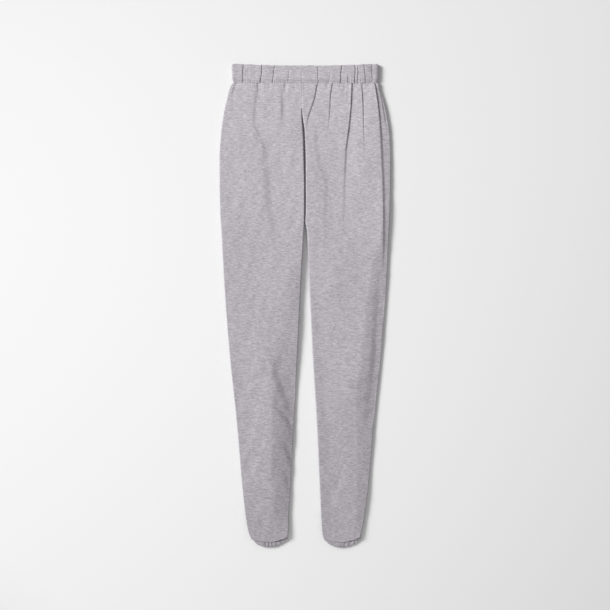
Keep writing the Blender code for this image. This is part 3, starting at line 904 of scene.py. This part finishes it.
def band_crease(creases, x, v):
    """How deep a waistband's creases are at X and at a share of its height."""
    total = np.zeros_like(x)
    for crease in creases:
        run = smooth((v - crease.from_share) / 0.12 + 1)
        run = run * smooth((crease.to_share - v) / 0.25 + 0.4)
        t = (x - crease_line(crease, v)) / crease.reach
        slit = np.exp(-(t**4))
        dent = np.where(t > 0, np.exp(-((t / 8) ** 2)), np.exp(-((t / 5) ** 2)))
        total += run * crease.depth * (0.80 * slit + 0.10 * dent)
    return total


def band_shares(creases, v, count):
    """Places along a face of the waistband, from 0 to 1, closer together at its creases."""
    low, high = band_ends(v)
    x = np.linspace(low, high, BAND_SAMPLES)
    weight = np.ones_like(x)
    for crease in creases:
        across = (x - crease_line(crease, v)) / (1.6 * crease.reach)
        weight += BAND_CROWDING * np.exp(-(across**2))
    return (spaced(x, weight, count) - low) / (high - low)


def band_ends(share):
    """X of the waistband's two ends at a share of its height."""
    return [s + (t - s) * share for s, t in zip(BAND_SEAM_ENDS, BAND_TOP_ENDS)]


def band_pinch(share):
    """The share of its rise that the waistband loses near its seam and at its top edge."""
    return 0.135 * (1 - float(smooth(share / 0.26))) + 0.03 * float(smooth((share - 0.9) / 0.1))


def band_front(x, share):
    """How far the waistband's front face is dented, and the fall of its +X end."""
    fine = seam_puckers(x) * (0.0008 * math.exp(-share / 0.12) + 0.00015)
    soft = 0.00015 * ripples(x, share * 0.038, SEEDS["band_front"], 0.016, 0.045, 2.0)
    fall = 1 - BAND_FALL * smooth((x - (band_ends(share)[1] - BAND_FALL_FROM)) / BAND_FALL_SPAN)
    return band_crease(BAND_CREASES, x, share) + fine - soft, fall


def band_back(x, share):
    """How far the waistband's back face stands off the floor."""
    fine = puckers(x, SEEDS["band_back"], 0.0050) * (0.0006 * math.exp(-share / 0.16) + 0.0002)
    return band_crease(BACK_BAND_CREASES, x, share) + fine


def band_drop(x, v, nip=0.0):
    """Drop of a point of the waistband at a share of its height."""
    off_middle = (2 * x - sum(BAND_TOP_ENDS)) / (BAND_TOP_ENDS[1] - BAND_TOP_ENDS[0])
    top = BAND_DIP * (1 - np.clip(off_middle, -1, 1) ** 2) + nip
    top = top + 0.0003 * ripples(x, 0.0, SEEDS["band_top"], 0.012, 0.05) + 0.0003
    drop = BAND_HEIGHT - SEAM_CRACK + (top - BAND_HEIGHT + SEAM_CRACK) * v
    return drop + seam_scallops(x, BAND_HEIGHT * v)


def band_corner(share):
    """How far the waistband's ends are rounded in at a share of its height."""
    across = max(0.0, (share - CORNER_FROM) / (1 - CORNER_FROM))
    return BAND_CORNER * (1 - math.sqrt(1 - across**2))


def waistband():
    back_shares = np.linspace(0, 1, BAND_BACK_COLUMNS)
    loops = []
    for v, through in rounded_section(30, 5, 0.004, 0.014):
        share = float(np.clip(v, 0, 1))
        low, high = band_ends(share)
        front_shares = band_shares(BAND_CREASES, share, BAND_FRONT_COLUMNS)
        inset = BAND_INSET * band_pinch(share)
        outside = flattened_loop(
            (low + inset, high - inset), 0.0, BAND_RISE * (1 - band_pinch(share)), BAND_RADII,
            front_shares, back_shares, 11,
        )
        inside = flattened_loop(
            (low + BAND_WALL, high - BAND_WALL), BAND_WALL, BAND_WALL + BAND_SLOT,
            (BAND_SLOT / 2, BAND_SLOT / 2), front_shares, back_shares, 11,
        )
        x, z, on_front, on_back = outside
        dent, fall = band_front(x, share)
        z = (z - on_front * dent) * fall + on_back * band_back(x, share)
        nip = 0.35 * band_crease(BAND_CREASES, x, 1.0) * on_front
        x = x + (inside[0] - x) * through
        z = z + (inside[1] - z) * through
        inwards = smooth(1 - (x - low) / CORNER_REACH) - smooth(1 - (high - x) / CORNER_REACH)
        x = x + band_corner(share) * inwards
        loops.append(points(x, band_drop(x, v, nip), z))
    return ring("waistband_cloth", loops)


def stitches(name, places, length, radius):
    """Short rounded threads along X, centred at places."""
    along = np.array([-0.5, -0.38, 0.0, 0.38, 0.5]) * length
    girth = np.array([0.25, 0.85, 1.0, 0.85, 0.25]) * radius
    corners = 6
    turn = np.arange(corners) * math.tau / corners
    rings = np.stack(np.broadcast_arrays(
        along[:, None], girth[:, None] * np.cos(turn), girth[:, None] * np.sin(turn)
    ), axis=-1).reshape(-1, 3)
    here = np.arange(len(rings)).reshape(len(along), corners)
    there = np.roll(here, -1, axis=1)
    sides = np.stack([here[:-1], there[:-1], there[1:], here[1:]], axis=-1).reshape(-1, 4)
    first, last = here[0], here[-1]
    ends = [first[[5, 4, 3, 2]], first[[5, 2, 1, 0]], last[[0, 1, 2, 3]], last[[0, 3, 4, 5]]]
    one = np.concatenate([sides[:, ::-1], ends])
    vertices = np.concatenate([rings + place for place in places])
    return make(name, vertices, np.concatenate([one + len(rings) * i for i in range(len(places))]))


def waistband_stitches():
    """The elastic's lower row of stitches, on the front face and on the back face."""
    low, high = band_ends(STITCH_SHARE)
    x = np.arange(low + STITCH_MARGINS[0], high - STITCH_MARGINS[1], STITCH_PITCH)
    dent, fall = band_front(x, STITCH_SHARE)
    front = (BAND_RISE * (1 - band_pinch(STITCH_SHARE)) - dent) * fall
    drop = band_drop(x, STITCH_SHARE)
    back = band_back(x, STITCH_SHARE) + BACK_STITCH_LIFT
    places = np.concatenate([points(x, drop, front), points(x, drop, back)])
    return stitches("waistband_stitches", places, STITCH_LENGTH, STITCH_RADIUS)


def casing_drop(casing, x):
    """Drop of a casing's lower edge, which hangs in an arc."""
    share = np.minimum(1.0, np.abs(x - casing.middle) / casing.half_width)
    power = np.where(x < casing.middle, *CASING_SAG_POWERS)
    sag = np.where(x < casing.middle, *CASING_SAGS)
    return LENGTH - HEM_LIFT - sag * share**power


def hem_casing(casing):
    low, high = casing.middle - casing.half_width, casing.middle + casing.half_width
    seed = SEEDS["pleats_" + casing.side]
    front_shares = np.linspace(0, 1, CASING_FRONT_COLUMNS)
    back_shares = np.linspace(0, 1, CASING_BACK_COLUMNS)
    loops = []
    for v, through in rounded_section(30, 6, 0.020, 0.045):
        up = float(np.clip(v, 0, 1))
        outside = flattened_loop(
            (low, high), 0.0, CASING_RISE, CASING_RADII, front_shares, back_shares, 9
        )
        inside = flattened_loop(
            (low + CASING_WALL, high - CASING_WALL), CASING_WALL, CASING_RISE - CASING_WALL,
            CASING_INNER_RADII, front_shares, back_shares, 9,
        )
        x, z, on_front, on_back = outside
        lower = casing_drop(casing, x)
        # The share of the casing's height at which the front's bottom edge covers it.
        edge = (lower - front_bottom(casing.side, x) - 0.0002) / CASING_HEIGHT
        shown = smooth((0.63 - up) / 0.05)
        across = hem_share(casing.side, x)
        sunk = CASING_SINK * smooth((across + 0.35) / 1.0)
        rolled = math.sqrt(1 - (1 - min(up / 0.42, 1.0)) ** 2)
        room = smooth(edge / 0.16)
        lift = (HEM_FACE - 0.0002 - sunk - CASING_RISE) * (0.25 + 0.75 * rolled) * shown * room
        pleat = puckers(x + 0.0008 * math.sin(up * 5 + seed), seed, PLEAT_PITCH)
        pleated = smooth((across - casing.pleats_from) / 0.35)
        z = z + on_front * (lift - (1 - pleat) * PLEAT_DEPTH * pleated * (0.3 + 0.7 * shown))
        z = z + on_back * pleat * BACK_PLEAT_DEPTH
        # Most of the rows lie below that edge, where they show.
        place = np.interp(up, [0, 0.60, 0.66, 1], [0, 1, 2, 3])
        lift_inside = np.maximum(0, z - CASING_RISE) * on_front
        covered = np.maximum(edge, 0.02)
        knots = [np.zeros_like(x), covered, covered + 0.008, np.ones_like(x)]
        k = min(int(place), 2)
        climb = knots[k] + (knots[k + 1] - knots[k]) * (place - k)
        x = x + (inside[0] - x) * through
        z = z + (inside[1] + lift_inside - z) * through
        drop = casing_drop(casing, x) - CASING_HEIGHT * climb
        loops.append(points(x, drop, z))
    return ring("hem_casing_cloth_" + casing.side, loops)


# Materials


def new_material(name):
    """A material, its nodes, its shader and the place on the object."""
    material = bpy.data.materials.new(name)
    material.use_nodes = True
    tree = material.node_tree
    shader = tree.nodes["Principled BSDF"]
    return material, tree, shader, node(tree, "ShaderNodeTexCoord").outputs["Object"]


def set_inputs(shader, values):
    for key, value in values.items():
        shader.inputs[key].default_value = value


def node(tree, kind, inputs=None, **settings):
    made = tree.nodes.new(kind)
    for key, value in settings.items():
        setattr(made, key, value)
    for key, value in (inputs or {}).items():
        if isinstance(value, bpy.types.NodeSocket):
            tree.links.new(value, made.inputs[key])
        else:
            made.inputs[key].default_value = value
    return made


def streaks(tree, place, size_x, size_y, detail, seed):
    """Noise whose grains are about size_x by size_y."""
    scale = (1 / size_x, 1 / size_y, 1 / size_x)
    placing = {"Vector": place, "Location": (seed, seed, seed), "Scale": scale}
    spread = node(tree, "ShaderNodeMapping", placing).outputs[0]
    sockets = {"Vector": spread, "Scale": 1.0, "Detail": detail, "Roughness": 0.6}
    return node(tree, "ShaderNodeTexNoise", sockets).outputs["Fac"]


# One layer of the marl: the size of its grains, and the two values that its noise is spread over.
Layer = namedtuple("Layer", "size_x size_y detail seed low low_at high high_at")
SLUBS = Layer(0.01, 0.0021, 2.0, 3.0, 0.85, 0.36, 1.15, 0.64)
FLECKS = Layer(0.0042, 0.0012, 2.0, 7.0, 0.85, 0.34, 1.15, 0.66)
DARK_FIBRES = Layer(0.008, 0.0016, 1.0, 11.0, 1.0, 0.6, 0.8, 0.74)
CLOUDS = Layer(0.06, 0.04, 2.0, 17.0, 0.985, 0.3, 1.015, 0.7)
TINT = Layer(0.016, 0.01, 1.0, 23.0, 0.0, 0.35, 1.0, 0.65)


def spread_over(tree, place, layer):
    noise = streaks(tree, place, layer.size_x, layer.size_y, layer.detail, layer.seed)
    sockets = {
        "Value": noise, "From Min": layer.low_at, "From Max": layer.high_at,
        "To Min": layer.low, "To Max": layer.high,
    }
    return node(tree, "ShaderNodeMapRange", sockets).outputs["Result"]


def fleece(name, shade):
    """Heather fleece: pale and dark fibres spun into slubs that run across the cloth."""
    material, tree, shader, place = new_material(name)
    slubs, flecks, dark, clouds, tint = [
        spread_over(tree, place, layer) for layer in (SLUBS, FLECKS, DARK_FIBRES, CLOUDS, TINT)
    ]
    value = slubs
    for other in (flecks, dark, clouds):
        value = node(tree, "ShaderNodeMath", {0: value, 1: other}, operation="MULTIPLY").outputs[0]
    colour = node(tree, "ShaderNodeMix", {"Factor": tint}, data_type="RGBA")
    colour.inputs[6].default_value = (0.504 * shade, 0.471 * shade, 0.506 * shade, 1)
    colour.inputs[7].default_value = (0.494 * shade, 0.470 * shade, 0.509 * shade, 1)
    marl = node(tree, "ShaderNodeVectorMath", {0: colour.outputs[2]}, operation="SCALE")
    tree.links.new(value, marl.inputs["Scale"])
    tree.links.new(marl.outputs[0], shader.inputs["Base Color"])
    set_inputs(shader, {
        "Roughness": 0.92, "Specular IOR Level": 0.25, "Sheen Weight": 0.12, "Sheen Roughness": 0.5,
    })
    pile = streaks(tree, place, 0.0016, 0.0008, 3.0, 29.0)
    bands = {"Vector": place, "Scale": 160.0, "Distortion": 1.5, "Detail": 1.0}
    wales = node(tree, "ShaderNodeTexWave", bands, bands_direction="X").outputs["Fac"]
    pile = node(tree, "ShaderNodeMath", {0: pile, 1: slubs}, operation="ADD").outputs[0]
    nap = node(tree, "ShaderNodeMath", {0: wales, 1: 0.25, 2: pile}, operation="MULTIPLY_ADD")
    relief = {"Strength": 0.5, "Distance": 0.0004, "Height": nap.outputs[0]}
    bump = node(tree, "ShaderNodeBump", relief)
    tree.links.new(bump.outputs[0], shader.inputs["Normal"])
    return material


def thread():
    """Spun polyester thread, twisted along its length."""
    material, tree, shader, place = new_material("grey_thread")
    twist = node(
        tree, "ShaderNodeTexWave", {"Vector": place, "Scale": 900.0, "Distortion": 0.4},
        bands_direction="DIAGONAL",
    ).outputs["Fac"]
    shade = node(tree, "ShaderNodeMix", {"Factor": twist}, data_type="RGBA")
    shade.inputs[6].default_value = (0.300, 0.282, 0.305, 1)
    shade.inputs[7].default_value = (0.385, 0.362, 0.392, 1)
    tree.links.new(shade.outputs[2], shader.inputs["Base Color"])
    set_inputs(shader, {"Roughness": 0.70, "Specular IOR Level": 0.35})
    bump = node(tree, "ShaderNodeBump", {"Strength": 0.4, "Distance": 0.0001, "Height": twist})
    tree.links.new(bump.outputs[0], shader.inputs["Normal"])
    return material


def floor_paper():
    """Pale paper, a little paler towards the hems and towards -X: painted light, which sets how
    bright the floor shows under the key light there.
    """
    material, tree, shader, place = new_material("pale_floor_painted_light")
    parts = node(tree, "ShaderNodeSeparateXYZ", {0: place})
    x, y = parts.outputs["X"], parts.outputs["Y"]
    # Painted light: a ramp over X and Y that brightens the paper where the key light is weaker.
    across = node(tree, "ShaderNodeMath", {0: y, 1: 0.130, 2: -0.1195}, operation="MULTIPLY_ADD")
    along = node(tree, "ShaderNodeMath", {0: y, 1: -0.1715, 2: 0.783}, operation="MULTIPLY_ADD")
    sockets = {0: x, 1: across.outputs[0], 2: along.outputs[0]}
    pale = node(tree, "ShaderNodeMath", sockets, operation="MULTIPLY_ADD")
    pale = node(tree, "ShaderNodeClamp", {"Value": pale.outputs[0], "Min": 0.60, "Max": 0.99})
    tree.links.new(pale.outputs[0], shader.inputs["Base Color"])
    set_inputs(shader, {"Roughness": 1.0, "Specular IOR Level": 0.0})
    return material


# The pieces, the stage, the light and the camera


def dress(piece, node_name, material):
    piece.data.materials.append(material)
    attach(piece, "root")
    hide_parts(node_name)


def stage():
    half_width, drop = 8.0, 0.0002
    mesh = bpy.data.meshes.new("floor")
    corners = [(-1, -1), (1, -1), (1, 1), (-1, 1)]
    vertices = [(half_width * x, half_width * y, -drop) for x, y in corners]
    mesh.from_pydata(vertices, [], [(0, 1, 2, 3)])
    mesh.materials.append(floor_paper())
    floor = add("floor", mesh)


def light_and_camera():
    scene = bpy.context.scene
    scene.view_settings.view_transform = "Standard"
    world = bpy.data.worlds.new("studio")
    world.use_nodes = True
    background = world.node_tree.nodes["Background"]
    background.inputs["Color"].default_value = (1, 1, 1, 1)
    background.inputs["Strength"].default_value = 0.45
    scene.world = world

    key = bpy.data.lights.new("key", "AREA")
    key.shape = "DISK"
    key.size = 3.4
    key.energy = 71
    key.spread = math.radians(48)
    lamp = add("key", key)
    lamp.location = (-5.2, 2.8, 3.7)
    aim = Vector((0.5, 1.0, 0.0))
    lamp.rotation_euler = (aim - lamp.location).to_track_quat("-Z", "Y").to_euler()

    camera = bpy.data.cameras.new("camera")
    camera.lens = 85
    camera.sensor_width = 36
    view_width = 1.281
    holder = add("camera", camera)
    distance = view_width / 2 / (camera.sensor_width / 2 / camera.lens)
    holder.location = (0.0, 0.0019, distance)
    camera.clip_end = 50
    scene.camera = holder


stage()
light_and_camera()
cloth = fleece("heather_fleece", 0.83)
for side in ("right", "left"):
    dress(front_panel(side), "front_" + side, cloth)
    dress(back_panel(side), "back_" + side, cloth)
dress(waistband(), "waistband", fleece("heather_waistband", 0.82))
thread_rows = waistband_stitches()
thread_rows.data.materials.append(thread())
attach(thread_rows, "root")
for casing in CASINGS:
    dress(hem_casing(casing), "hem_casing_" + casing.side,
          cloth)
